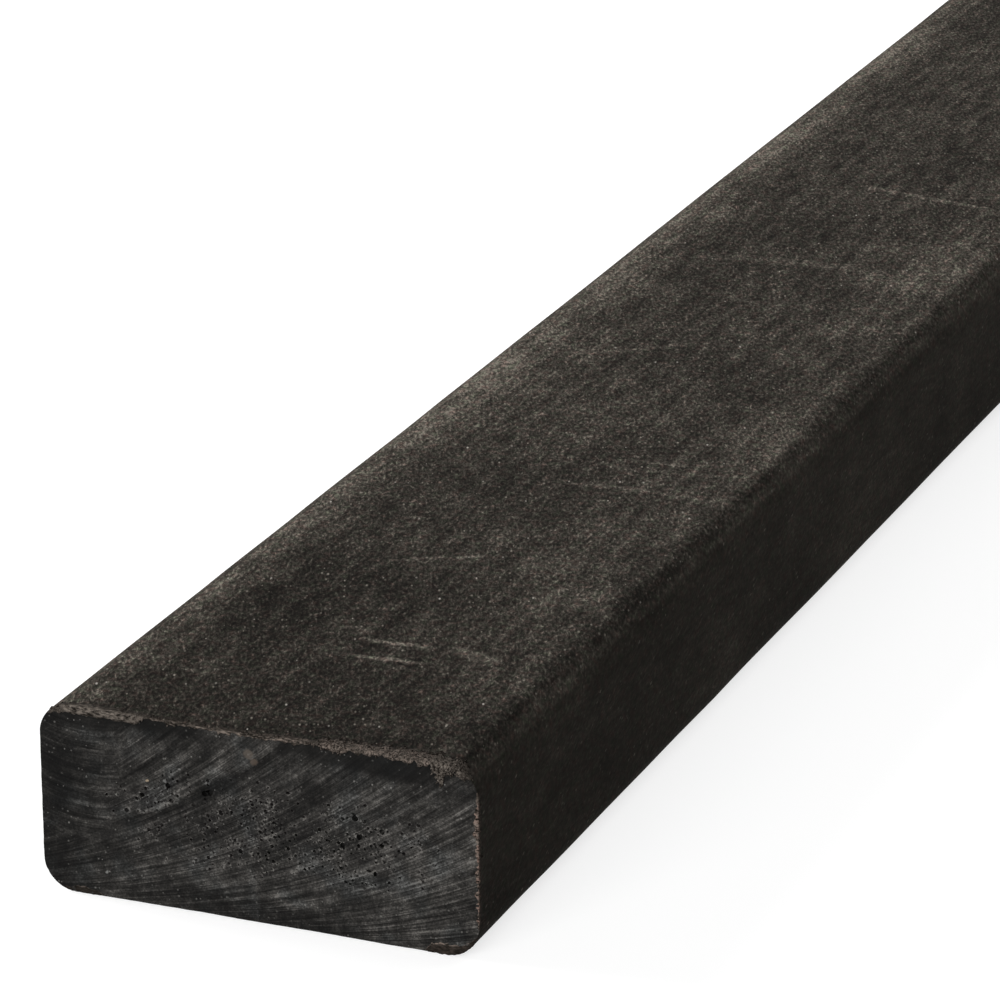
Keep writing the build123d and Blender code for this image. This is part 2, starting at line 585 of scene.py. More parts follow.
def sectionAt(s):  # x, z and the outward direction at distance s round the section, leftwards from below
    s = np.asarray(s, float) % perimeter
    x, z, nx, nz = (np.zeros_like(s) for _ in range(4))
    runs = [("line", halfFlat, 0, 0, -1, 0), ("arc", quarterArc, -halfFlat, arrisRadius, 270, 0),
            ("line", sideFlat, -boardWidth / 2, arrisRadius, 0, 1),
            ("arc", quarterArc, -halfFlat, boardThick - arrisRadius, 180, 0),
            ("line", 2 * halfFlat, -halfFlat, boardThick, 1, 0),
            ("arc", quarterArc, halfFlat, boardThick - arrisRadius, 90, 0),
            ("line", sideFlat, boardWidth / 2, boardThick - arrisRadius, 0, -1),
            ("arc", quarterArc, halfFlat, arrisRadius, 0, 0), ("line", halfFlat, halfFlat, 0, -1, 0)]
    start = 0.0
    for kind, length, a, b, c, d in runs:
        inside = (s >= start) & (s <= start + length)
        t = s[inside] - start
        if kind == "line":
            x[inside], z[inside] = a + c * t, b + d * t
            nx[inside], nz[inside] = -d, c
        else:
            angle = np.radians(c) - t / arrisRadius
            nx[inside], nz[inside] = np.cos(angle), np.sin(angle)
            x[inside], z[inside] = a + arrisRadius * nx[inside], b + arrisRadius * nz[inside]
        start += length
    return x, z, nx, nz


def ringPlaces(level):  # distances round the section, each base step halved level times
    half = (halfFlat, boardShape["wideSteps"] // 2)
    arris = (quarterArc, boardShape["arrisSteps"])
    side = (sideFlat, boardShape["narrowSteps"])
    top = (2 * halfFlat, boardShape["wideSteps"])
    places, start = [], 0.0
    for length, count in (half, arris, side, arris, top, arris, side, arris, half):
        count *= 2 ** level
        places.append(start + length * np.arange(count) / count)
        start += length
    return np.concatenate(places)


def skinOffset(s, y):  # how far the skin stands off the true section
    turn = s / perimeter
    relief = sum(height * softNoise(turn * columns, y / length, columns, rows, seed)
                 for height, columns, length, rows, seed in boardShape["waves"])
    x, z, nx, nz = sectionAt(s)
    hollow = boardShape["sink"] * np.abs(nz) * np.cos(np.clip(x / halfFlat, -1, 1) * math.pi / 2) ** 2
    diagonal = np.clip(np.abs(nx * nz) * 2, 0, 1)
    wear = diagonal * (0.05 + 0.08 * softNoise(turn * 4, y / 21, 4, 256, 14))  # of the arrises
    return relief - hollow - wear + boardShape["proud"]


def strokeLine(x, z):  # the same number all along one pass of the blade's edge
    return x - np.sqrt(np.maximum(sawnLook["bladeRadius"] ** 2 - (sawnLook["bladeHeight"] - z) ** 2, 0))


endLook = {
    # Torn ledges: points (x, z) from lower left to upper right, drop, how far the low side reaches, and how
    # much painted shade darkens it and painted highlight lightens the high side
    "ledges": [([(-28.6, 24.8), (-21.4, 29.2), (-10.0, 36.8)], 0.30, 5.0, 0.4, 0.12),
               ([(-30.5, 15.6), (-20.2, 19.4), (-14.2, 23.3), (-7.6, 27.8)], 0.42, 4.0, 0.5, 0.42),
               ([(-4.0, 29.0), (0.2, 32.0), (5.0, 36.5)], 0.36, 5.0, 0.45, 0.2)],
    "dent": (-18.0, 18.6, 2.6, 1.3, 0.5),      # x, z, half width, half height, depth
    # Lighter and darker patches: x, z, half length, half width, slope, gain
    "patches": [(-27, 32.2, 8, 2.2, -0.2, 0.3), (-5, 34.5, 6, 3, 0.8, 0.22), (-40, 21, 4, 5, 0, -0.25),
                (-41, 9, 4, 4, 0, -0.15), (-9, 25.5, 7, 2.2, 0.35, -0.3), (-16, 19, 6, 2, 0.5, -0.25),
                (-22, 9, 9, 3, 0.1, -0.15), (31, 14, 12, 5, 0.4, 0.2), (20, 31, 9, 4, 0.4, -0.18),
                (-12, 5.5, 14, 2, 0.15, 0.18), (21, 22.5, 5, 4, 0.3, -0.22), (-34, 3, 5, 3, 0, 0.1)],
}


def alongLedge(x, z, points):  # signed distance, positive above left of it, and how it fades at its ends
    best = np.full(x.shape, 1e9)
    side, share = np.zeros(x.shape), np.zeros(x.shape)
    pieces = len(points) - 1
    for number in range(pieces):
        (ax, az), (bx, bz) = points[number], points[number + 1]
        dx, dz = bx - ax, bz - az
        length = math.hypot(dx, dz)
        t = np.clip(((x - ax) * dx + (z - az) * dz) / length ** 2, 0, 1)
        away = np.hypot(x - ax - dx * t, z - az - dz * t)
        closer = away < best
        best = np.where(closer, away, best)
        side = np.where(closer, np.sign((z - az) * dx - (x - ax) * dz), side)
        share = np.where(closer, (number + t) / pieces, share)
    return best * side, np.sin(np.clip(share, 0.02, 0.98) * math.pi) ** 0.5


def sawRelief(x, z, nearEnd):  # height of the sawn face over its plane
    seed = 31 if nearEnd else 61
    stroke = strokeLine(x, z)
    relief = 0.05 * softNoise(stroke / 2.4, x / 26, 64, 64, seed)
    relief += 0.035 * softNoise(stroke / 0.9, x / 14, 128, 64, seed + 1)
    relief += 0.03 * softNoise(x / 1.3, z / 1.3, 128, 64, seed + 2)
    relief += 0.02 * softNoise(x / 0.6, z / 0.6, 256, 128, seed + 3)
    if nearEnd:
        ragged = 0.25 * softNoise(x / 1.1, z / 1.1, 128, 64, 41)
        for points, drop, reach, _, _ in endLook["ledges"]:
            away, taper = alongLedge(x, z + ragged, points)
            relief -= drop * taper * np.where(away < 0, np.exp(away / reach), 0) * ramp(-away, -0.02, 0.25)
        dx, dz, halfWide, halfHigh, depth = endLook["dent"]
        round2 = ((x - dx) / halfWide) ** 2 + ((z - dz) / halfHigh) ** 2
        relief -= depth * np.clip(1 - round2, 0, 1)
    return relief


def between(x, start, full, fading, stop):  # 1 from full to fading, 0 before start and after stop
    return ramp(x, start, full) * (1 - ramp(x, fading, stop))


def rollAt(x, z):  # how much the cut has rounded the skin's edge over
    return 0.07 + 0.3 * ramp(z, boardThick - 1.0, boardThick - 0.3) * between(x, -26, -20, 2, 8)


def endMarks(x, z, nearEnd):  # tone with painted light and shade, swirl, and the smear with painted shadow under the lip, of the sawn face, painted on its points
    seed = 51 if nearEnd else 81
    wavy = 3.0 * softNoise(x / 6, z / 6, 64, 64, seed)
    swirl = (1 - ramp(x + wavy, -33, -25)) * ramp(z, 9, 15)
    # Tone that differs at random, lighter towards the right as painted light, and darker at the left edge,
    # along the bottom in the middle and near the top
    tone = 0.88 + 0.20 * ramp(x, -40, 38) + 0.16 * softNoise(x / 9, z / 5, 64, 64, seed + 1)
    tone += 0.10 * softNoise(strokeLine(x, z) / 5, x / 30, 64, 64, seed + 2)
    tone -= 0.6 * (1 - ramp(x, -42, -35))
    tone -= 0.5 * (1 - ramp(z + 0.05 * x, 2.5, 6.0)) * between(x, -30, -16, 16, 30)
    tone -= 0.12 * ramp(z, 31.5, 35.5)
    smear = np.zeros(x.shape)
    if nearEnd:
        for markX, markZ, halfLong, halfWide, rise, gain in endLook["patches"]:
            dx, dz = x - markX, z - markZ - rise * (x - markX)
            tone += gain * np.exp(-(dx / halfLong) ** 2 - (dz / halfWide) ** 2)
        # Painted shadow under the torn lip, over smoother smeared plastic there
        edge = boardThick - 2.7 + 0.9 * softNoise(x / 4.5, z * 0, 64, 4, seed + 3)
        edge -= 1.7 * between(x, 13, 19, 32, 36) + 0.9 * (1 - ramp(x, -32, -28))
        under = between(x, -41, -37, -14, -10) + between(x, 3.5, 6, 35, 38)
        smear = np.clip(ramp(z, edge - 1.2, edge + 0.6) * under, 0, 1)
        # Painted shade on the low side of each ledge, and painted highlight on its high side
        for points, _, _, darker, lighter in endLook["ledges"]:
            away, taper = alongLedge(x, z, points)
            low = np.where(away < 0, np.exp(away / 1.9), 0) * taper
            high = np.where(away >= 0, np.exp(-away / 1.8), 0) * taper
            tone += lighter * high - darker * low
    return tone, swirl, smear


def makeCap(ring, spacing, seed):  # points and triangles of one sawn face inside its rim; ring is (n, 2)
    rng = np.random.default_rng(seed)
    columns = np.arange(-boardWidth / 2, boardWidth / 2, spacing)
    rows = np.arange(0, boardThick, spacing * 0.866)
    grid = np.array([(x + (number % 2) * spacing / 2, z) for number, z in enumerate(rows) for x in columns])
    grid += rng.uniform(-0.16, 0.16, grid.shape) * spacing
    inset = spacing * 0.75 + 0.25
    cx = np.clip(grid[:, 0], -halfFlat, halfFlat)
    cz = np.clip(grid[:, 1], arrisRadius, boardThick - arrisRadius)
    keep = np.hypot(grid[:, 0] - cx, grid[:, 1] - cz) < arrisRadius - inset
    grid = grid[keep]
    points = [Vector(p) for p in np.concatenate([ring, grid])]
    border = [list(range(len(ring)))]
    made, _, triangles, origins, _, _ = geometry.delaunay_2d_cdt(points, [], border, 1, 1e-6)
    places = np.array([tuple(p) for p in made])
    return places, [tuple(t) for t in triangles], origins


def corner(ring, index):  # a vertex of a ring, and its place on the unrolled skin
    start, count, s, y = ring
    lap = perimeter if index == count else 0.0
    return start + index % count, (s[index % count] + lap - perimeter / 2, y)


def facesBetween(ring, following):  # where one ring has half the other's steps, three triangles to a step
    count, nextCount = ring[1], following[1]
    faces = []
    for i in range(min(count, nextCount)):
        if count == nextCount:
            faces.append([corner(ring, i), corner(ring, i + 1),
                          corner(following, i + 1), corner(following, i)])
        elif count > nextCount:
            a, b, c = (corner(ring, 2 * i + k) for k in range(3))
            d, e = (corner(following, i + k) for k in range(2))
            faces += [[a, b, d], [b, e, d], [b, c, e]]
        else:
            a, b = (corner(ring, i + k) for k in range(2))
            c, d, e = (corner(following, 2 * i + k) for k in range(3))
            faces += [[a, d, c], [a, b, d], [b, e, d]]
    return faces


def makeRings(vertices):  # the skin's rings of vertices from end to end: first vertex, count, s and y of each
    ends = boardShape["endStations"]
    inner = boardLength - 2 * ends[-1][0]
    count = round(inner / boardShape["lengthStep"])
    stations = [(-boardLength / 2 + d, level) for d, level in ends]
    stations += [(-boardLength / 2 + ends[-1][0] + inner * i / count, 0) for i in range(1, count)]
    stations += [(boardLength / 2 - d, level) for d, level in reversed(ends)]
    rings = []
    for y, level in stations:
        s = ringPlaces(level)
        x, z, nx, nz = sectionAt(s)
        fromEnd = boardLength / 2 - abs(y)
        out = skinOffset(s, np.full(s.shape, y)) - rollAt(x, z) * math.exp(-fromEnd / rollDepth)
        x, z = x + nx * out, z + nz * out
        ys = np.full(s.shape, y)
        if fromEnd < 1e-6:
            ys = ys + math.copysign(1, y) * sawRelief(x, z, y < 0)
        rings.append((len(vertices), len(s), s, y))
        vertices += list(zip(x, ys, z))
    return rings


def capFaces(vertices, ring, nearEnd):  # the faces of a sawn end, with its new vertices added to the others
    start, number, _, y = ring
    border = np.array([(v[0], v[2]) for v in vertices[start:start + number]])
    places, triangles, origins = makeCap(border, boardShape["capSpacing"], 5 if nearEnd else 6)
    heights = sawRelief(places[:, 0], places[:, 1], nearEnd)
    index, faces = [], []
    for spot, height, origin in zip(places, heights, origins):
        rim = [o for o in origin if o < number]
        index.append(start + rim[0] if rim else len(vertices))
        if not rim:
            vertices.append((spot[0], y + math.copysign(1, y) * height, spot[1]))
    for a, b, c in triangles:
        (ax, az), (bx, bz), (cx, cz) = places[a], places[b], places[c]
        leftHanded = (bx - ax) * (cz - az) - (bz - az) * (cx - ax) < 0
        face = [index[a], index[b], index[c]]
        if leftHanded == nearEnd:
            face.reverse()
        faces.append(face)
    return faces


def makeBoardMesh():
    vertices, faces, uvs = [], [], []
    rings = makeRings(vertices)
    for ring, following in zip(rings, rings[1:]):
        for face in facesBetween(ring, following):
            faces.append([index for index, _ in face])
            uvs += [uv for _, uv in face]
    skinCount = len(faces)
    for ring, nearEnd in ((rings[0], True), (rings[-1], False)):
        cap = capFaces(vertices, ring, nearEnd)
        faces += cap
        uvs += [(vertices[v][0], vertices[v][2]) for face in cap for v in face]
    mesh = bpy.data.meshes.new("lumberBoard")
    mesh.from_pydata([(x * mm, y * mm, z * mm) for x, y, z in vertices], [], faces)
    mesh.materials.append(skinMaterial)
    mesh.materials.append(sawnMaterial)
    mesh.polygons.foreach_set("material_index", [0] * skinCount + [1] * (len(faces) - skinCount))
    layer = mesh.uv_layers.new(name="unrolledSkin")
    layer.data.foreach_set("uv", (np.array(uvs) * mm).ravel())
    x, y, z = np.array(vertices).T
    marks = zip(endMarks(x, z, True), endMarks(x, z, False))
    for name, (nearMarks, farMarks) in zip(("tone", "swirl", "smear"), marks):
        paint(mesh, name, np.where(y < 0, nearMarks, farMarks))
    mesh.validate()
    withBmesh(mesh, lambda solid: bmesh.ops.delete(
        solid, geom=[vertex for vertex in solid.verts if not vertex.link_faces], context="VERTS"))
    return mesh


board = newPiece("lumberBoard", makeBoardMesh())
print("board meshed:", len(board.data.polygons), "faces")


# Gas pores, cut into the sawn ends

poreBand = {
    "width": 68.0, "height": 20.0, "centreX": 3.0, "centreZ": 18.8,
    # Least spacing, greatest number to a square centimetre, smallest and largest radius
    "sizes": [(0.75, 190, 0.16, 0.32), (2.0, 17, 0.28, 0.43)],
    "thinning": (2.6, 2.0),     # how steeply the pores thin out sideways and upwards
    "patchPoints": (133, 43),   # sideways and upwards, of the patch that they are scattered over
    "shape": ((0.85, 1.3, 0.8), (1.25, 2.2, 1.1)),  # least and greatest size of a pore on each axis
    "clumpScale": 150.0,        # of the noise over the band, per metre, and of that on the pores' walls
    "unevenScale": 2600.0,
    "uneven": 0.07,
    # how dark a tone the pores' walls are given, as painted shade
    "wallShade": 0.3,
    "rimWidth": 0.18,           # of the painted highlight on the rim round each pore
    "rimDepth": (0.12, 0.3),    # where the rim ends on the pore's wall, from and to
}
widePores = [  # x, z and radius of the widest pores of the near end
    (-26.8, 18.5, 0.5), (-23.5, 22.1, 0.55), (-24.6, 21.2, 0.35), (-18.1, 24.8, 0.55), (-17.5, 21.8, 0.5),
    (-10.6, 24.3, 0.6), (-9.7, 24.6, 0.6), (19.9, 24.3, 0.6), (20.7, 20.7, 0.62), (21.8, 24.0, 0.42),
    (25.3, 22.5, 0.5), (25.2, 19.7, 0.5), (17.3, 18.5, 0.55), (16.6, 18.9, 0.4), (17.5, 23.8, 0.4),
    (6.4, 27.2, 0.35), (-21.0, 16.4, 0.4), (-19.6, 16.6, 0.35), (22.6, 14.2, 0.4), (23.8, 13.8, 0.45),
]


def makePoreTree():
    tree, given, result = newGroup("gasPores", {
        "Geometry": "Geometry", "End": 0.0, "Width": 0.06, "Height": 0.02, "Centre X": 0.0, "Centre Z": 0.02,
        "Uneven": 0.0001, "Wall Tone": 1.0, "Seed": 1, "Wide Pores": "Object", "Material": "Material",
    }, {"Geometry": "Geometry"}, "GeometryNodeTree")
    columns, rows = poreBand["patchPoints"]
    patch = geo(tree, "MeshGrid", {
        "Size X": given["Width"], "Size Y": given["Height"], "Vertices X": columns, "Vertices Y": rows})
    middle = gather(tree, given["Centre X"], given["End"], given["Centre Z"])
    upright = geo(tree, "Transform", {
        "Geometry": patch, "Translation": middle, "Rotation": (math.pi / 2, 0, 0)})
    spot = geo(tree, "InputPosition")
    # Crowded in clumps, and fewer towards the rim of the band
    offset = split(tree, vectorCalc(tree, "SUBTRACT", spot, middle))
    away = []
    for axis, label, power in zip((0, 2), ("Width", "Height"), poreBand["thinning"]):
        share = calc(tree, "DIVIDE", offset[axis], calc(tree, "MULTIPLY", given[label], 0.5))
        away.append(calc(tree, "POWER", calc(tree, "ABSOLUTE", share), power))
    within = calc(tree, "SUBTRACT", 1.2, calc(tree, "ADD", *away), clamp=True)
    inputs = {"Vector": spot, "Scale": poreBand["clumpScale"], "Detail": 1.0}
    clumps = firstOf(tree, "ShaderNodeTexNoise", inputs)
    crowd = calc(tree, "MULTIPLY", within, remap(tree, clumps, 0.36, 0.6, 0.2, 1.0))
    cutters = []
    for number, (spacing, most, smallest, largest) in enumerate(poreBand["sizes"]):
        seed = firstOf(tree, "FunctionNodeIntegerMath", {0: given["Seed"], 1: number * 7}, operation="ADD")
        scatter = geo(tree, "DistributePointsOnFaces", {
            "Mesh": upright, "Distance Min": spacing * mm, "Density Max": most * 1e4,
            "Density Factor": crowd, "Seed": seed}, distribute_method="POISSON")
        eased = randomShare(tree, seed, 1.7)
        cutters.append((scatter, remap(tree, eased, 0.0, 1.0, smallest * mm, largest * mm)))
    placed = addNode(tree, "GeometryNodeObjectInfo", {"Object": given["Wide Pores"]}).outputs["Geometry"]
    cutters.append((geo(tree, "MeshToPoints", {"Mesh": placed}), readValue(tree, "poreRadius")))
    ball = geo(tree, "MeshIcoSphere", {"Radius": 1.0, "Subdivisions": 2})
    push = scaleBy(tree, drift(tree, spot, poreBand["unevenScale"], 0.0), given["Uneven"])
    cut = addNode(tree, "GeometryNodeMeshBoolean", {"Mesh 1": given["Geometry"]}, operation="DIFFERENCE",
                  solver="MANIFOLD")
    joined = addNode(tree, "GeometryNodeJoinGeometry")
    for number, (points, radius) in enumerate(cutters):
        shape = randomVector(tree, *poreBand["shape"], number)
        scale = scaleBy(tree, shape, radius)
        rough = placeSolids(tree, push, {"Points": points, "Instance": ball, "Scale": scale})
        # Painted shade: the pores' walls get a dark tone
        toned = storeValue(tree, rough, "tone", given["Wall Tone"])
        coated = geo(tree, "SetMaterial", {"Geometry": toned, "Material": given["Material"]})
        tree.links.new(coated, cut.inputs["Mesh 2"])
        tree.links.new(coated, joined.inputs[0])
    # How near each point is to a pore, for the painted highlights on the rims
    near = addNode(tree, "GeometryNodeProximity", {0: joined.outputs[0]}).outputs["Distance"]
    rim = calc(tree, "SUBTRACT", 1.0, calc(tree, "DIVIDE", near, poreBand["rimWidth"] * mm), clamp=True)
    depth = calc(tree, "ABSOLUTE", calc(tree, "SUBTRACT", split(tree, spot)[1], given["End"]))
    inside = remap(tree, depth, *(distance * mm for distance in poreBand["rimDepth"]))
    value = calc(tree, "MULTIPLY", rim, calc(tree, "SUBTRACT", 1.0, inside))
    value = calc(tree, "MAXIMUM", value, readValue(tree, "poreRim"))
    tree.links.new(storeValue(tree, cut.outputs[0], "poreRim", value), result["Geometry"])
    return tree


def cutPores(piece, tree, endY, seed, flip, reach, wide):  # flip: 1, or -1 for an end seen from behind
    mesh = bpy.data.meshes.new("widePores")
    mesh.from_pydata([(x * flip * mm, endY, z * mm) for x, z, _ in wide], [], [])
    paint(mesh, "poreRadius", [radius * mm for _, _, radius in wide])
    marks = newPiece("widePores", mesh)
    addNodes(piece, tree, {
        "End": endY, "Width": reach * poreBand["width"] * mm, "Height": poreBand["height"] * mm,
        "Centre X": flip * poreBand["centreX"] * mm, "Centre Z": poreBand["centreZ"] * mm,
        "Uneven": poreBand["uneven"] * mm, "Wall Tone": poreBand["wallShade"], "Seed": seed,
        "Wide Pores": marks, "Material": sawnMaterial})
    bake(piece)
    bpy.data.objects.remove(marks)
    bpy.data.meshes.remove(mesh)


poreTree = makePoreTree()
cutPores(board, poreTree, boxLow.y * mm, 3, 1, 1.0, widePores)
print("near end's pores cut:", len(board.data.polygons), "faces")
cutPores(board, poreTree, boxHigh.y * mm, 8, -1, 0.78, widePores[1::3])
print("far end's pores cut:", len(board.data.polygons), "faces")
board.data.shade_smooth()
board.data.set_sharp_from_angle(angle=math.radians(38))
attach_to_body(board, "root")
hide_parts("board")


# Torn skin along the sawn edges: a crumbly ribbon, with fibres and crumbs standing on it

tornLook = {
    "dark": srgb(27, 24, 21),
    "pale": srgb(116, 108, 100),
    "pink": srgb(122, 102, 93),
    "finish": (0.8, 0.02),      # roughness and specular level
    "relief": (0.7, 0.08),      # strength and height of the bump
    "step": 0.2,                # along the edge
    # Section of the ribbon: share of how far it stands out of the end, its own distance forward,
    # share of its width inward from the skin, its own distance inward, and share of its paleness
    "section": [(0, -1.3, 0, 0.02, 0.0), (0, -0.7, 0, -0.02, 0.05), (0, -0.15, 0, -0.06, 0.3),
                (0.7, 0, 0, -0.02, 0.8), (1, 0, 0.25, 0, 1), (0.85, 0, 0.65, 0, 1), (0.35, 0, 1, 0, 0.9),
                (0, -0.15, 0.97, 0, 0.5), (0, -0.6, 0.6, 0, 0), (0, -1.0, 0.2, 0.1, 0)],
    # The fourth to seventh of these where only the inner edge is pale, and the rest is left dark as painted
    # shade
    "paleInside": [(0.7, 0, 0, -0.02, 0.08), (1, 0, 0.25, 0, 0.08),
                   (0.85, 0, 0.84, 0, 0.1), (0.35, 0, 1, 0, 1)],
    # The first three, on the skin's side: paleness where it is frayed and where it is folded back,
    # share of the fold that each takes, and how far the fold lifts it
    "folded": [(0.15, 0, 1.25, 0), (0.3, 0.5, 0.8, 0.05), (0.2, 0.4, 0.3, 0.05)],
    "unevenAcross": 0.07,
}
# Each run: end, seed, whether only the inner edge is pale, and keys of place round the section from the
# middle of the top, width, stand-out, raggedness, share of fibres, paleness, pinkness and reach back over
# the skin
tornRuns = {
    "sawLip": ("near", 101, False, [
        (-43.8, 0.1, 0.03, 0.3, 0.1, 0.2, 0, 0), (-42.6, 0.8, 0.25, 0.4, 0.3, 0.3, 0, 0),
        (-40.2, 1.5, 0.35, 0.3, 0.25, 0.3, 0, 0), (-39, 1.5, 0.35, 0.15, 0.06, 0.5, 0, 0.2),
        (-34, 1.6, 0.4, 0.1, 0.03, 0.52, 0, 0.4), (-27, 1.7, 0.45, 0.1, 0.04, 0.52, 0, 0.2),
        (-24.2, 1.8, 0.5, 0.25, 0.15, 0.5, 0, 0), (-23.3, 0.7, 0.2, 0.5, 0.3, 0.5, 0.1, 0),
        (-22, 0.4, 0.14, 0.7, 0.12, 0.48, 0.2, 0), (-8, 0.34, 0.12, 0.7, 0.1, 0.52, 0.2, 0),
        (3, 0.34, 0.12, 0.6, 0.12, 0.42, 0.2, 0.1), (4.6, 0.5, 0.2, 0.7, 0.15, 0.5, 0.3, 0.3),
        (11.5, 0.5, 0.2, 0.6, 0.15, 0.42, 0.3, 0.4), (13.5, 0.8, 0.35, 0.6, 0.8, 0.46, 0.3, 1.2),
        (17.5, 0.8, 0.35, 0.6, 0.8, 0.44, 0.3, 1.6), (19, 0.7, 0.25, 0.6, 0.2, 0.45, 0.3, 1.8),
        (25, 0.7, 0.3, 0.6, 0.25, 0.46, 0.3, 2.0), (32, 0.8, 0.35, 0.6, 0.3, 0.46, 0.3, 2.2),
        (34.6, 1.1, 0.4, 0.6, 0.6, 0.44, 0.3, 2.3), (35.6, 2.2, 0.6, 0.8, 1.0, 0.46, 0, 2.3),
        (40.5, 2.5, 0.7, 0.9, 1.0, 0.42, 0, 1.6), (42.2, 1.6, 0.45, 0.6, 0.8, 0.28, 0, 0.6),
        (43.8, 0.2, 0.08, 0.5, 0.4, 0.1, 0, 0)]),
    "rightBurr": ("near", 131, False, [
        (46.5, 0.08, 0.03, 0.4, 0.02, 0.3, 0.6, 0), (48.6, 0.45, 0.1, 0.8, 0.04, 0.7, 0.8, 0),
        (53, 0.65, 0.12, 0.8, 0.04, 0.72, 0.9, 0), (62, 0.5, 0.12, 0.9, 0.04, 0.75, 1, 0),
        (71, 0.55, 0.12, 0.9, 0.04, 0.75, 1, 0), (74, 0.1, 0.05, 0.5, 0.02, 0.4, 0.8, 0)]),
    "lowerRightBurr": ("near", 137, True, [
        (75.5, 0.1, 0.03, 0.2, 0, 0.3, 0.5, 0), (77.9, 1.0, 0.08, 0.1, 0, 0.9, 0.4, 0),
        (81, 1.9, 0.12, 0.08, 0, 0.95, 0.4, 0), (83.4, 2.2, 0.15, 0.1, 0, 1, 0.5, 0),
        (86.5, 1.7, 0.15, 0.2, 0, 1, 0.6, 0), (88, 0.15, 0.03, 0.3, 0, 0.3, 0.5, 0)]),
    "lowerLeftBurr": ("near", 139, True, [
        (-90, 0.1, 0.03, 0.2, 0, 0.2, 0.2, 0), (-87.5, 0.9, 0.08, 0.2, 0, 0.5, 0.2, 0),
        (-84, 1.2, 0.08, 0.2, 0, 0.5, 0.2, 0), (-80, 0.1, 0.03, 0.2, 0, 0.2, 0.2, 0)]),
    "farLip": ("far", 151, False, [
        (-43.5, 0.2, 0.08, 0.5, 0.4, 0.2, 0, 0), (-39, 1.6, 0.5, 0.6, 0.9, 0.4, 0.2, 1.2),
        (-30, 1.3, 0.4, 0.6, 0.7, 0.5, 0.3, 1.0), (-12, 1.0, 0.35, 0.6, 0.6, 0.55, 0.3, 0.6),
        (-2, 0.6, 0.2, 0.5, 0.2, 0.6, 0.2, 0), (14, 0.4, 0.15, 0.4, 0.1, 0.6, 0.1, 0),
        (22, 1.3, 0.35, 0.2, 0.1, 0.55, 0.1, 0.3), (38, 1.2, 0.3, 0.2, 0.1, 0.55, 0.1, 0.3),
        (43, 0.1, 0.03, 0.3, 0.1, 0.3, 0, 0)]),
    "farLeftBurr": ("far", 157, False, [
        (-74, 0.15, 0.05, 0.5, 0.1, 0.3, 0.8, 0), (-70, 0.6, 0.15, 0.6, 0.1, 0.5, 0.9, 0),
        (-52, 0.6, 0.15, 0.6, 0.1, 0.5, 0.9, 0), (-47, 0.08, 0.03, 0.4, 0.1, 0.3, 0.6, 0)]),
}


def makeTornMaterial():
    material, tree, shader = newMaterial("tornPlastic", *tornLook["finish"])
    place = objectPlace(tree)
    pale, pink, fray = (painted(tree, name) for name in ("pale", "pink", "fray"))
    # Where nothing is frayed, the torn skin is drawn out into streaks along the edge
    squash = gather(tree, remap(tree, fray, 0.1, 0.3, 0.3, 1.0), 1.0, 1.0)
    grained = vectorCalc(tree, "MULTIPLY", place, squash)
    coarse, fine = (
        firstOf(tree, "ShaderNodeTexNoise", {
            "Vector": spot, "Scale": scale, "Detail": detail, "Roughness": 0.7})
        for spot, scale, detail in ((place, 0.9, 3.0), (grained, 2.4, 2.0)))
    patches = remap(tree, coarse, 0.3, 0.7, 0.3, 1.7)
    grains = remap(tree, fine, 0.35, 0.68, -0.2, 2.3)
    amount = calc(tree, "MULTIPLY", pale, calc(tree, "MULTIPLY", patches, grains), clamp=True)
    pinkness = calc(tree, "MULTIPLY", pink, remap(tree, coarse, 0.35, 0.6))
    light = mixColour(tree, pinkness, tornLook["pale"], tornLook["pink"])
    finishMaterial(tree, shader, mixColour(tree, amount, tornLook["dark"], light), tornLook["relief"], fine)
    return material


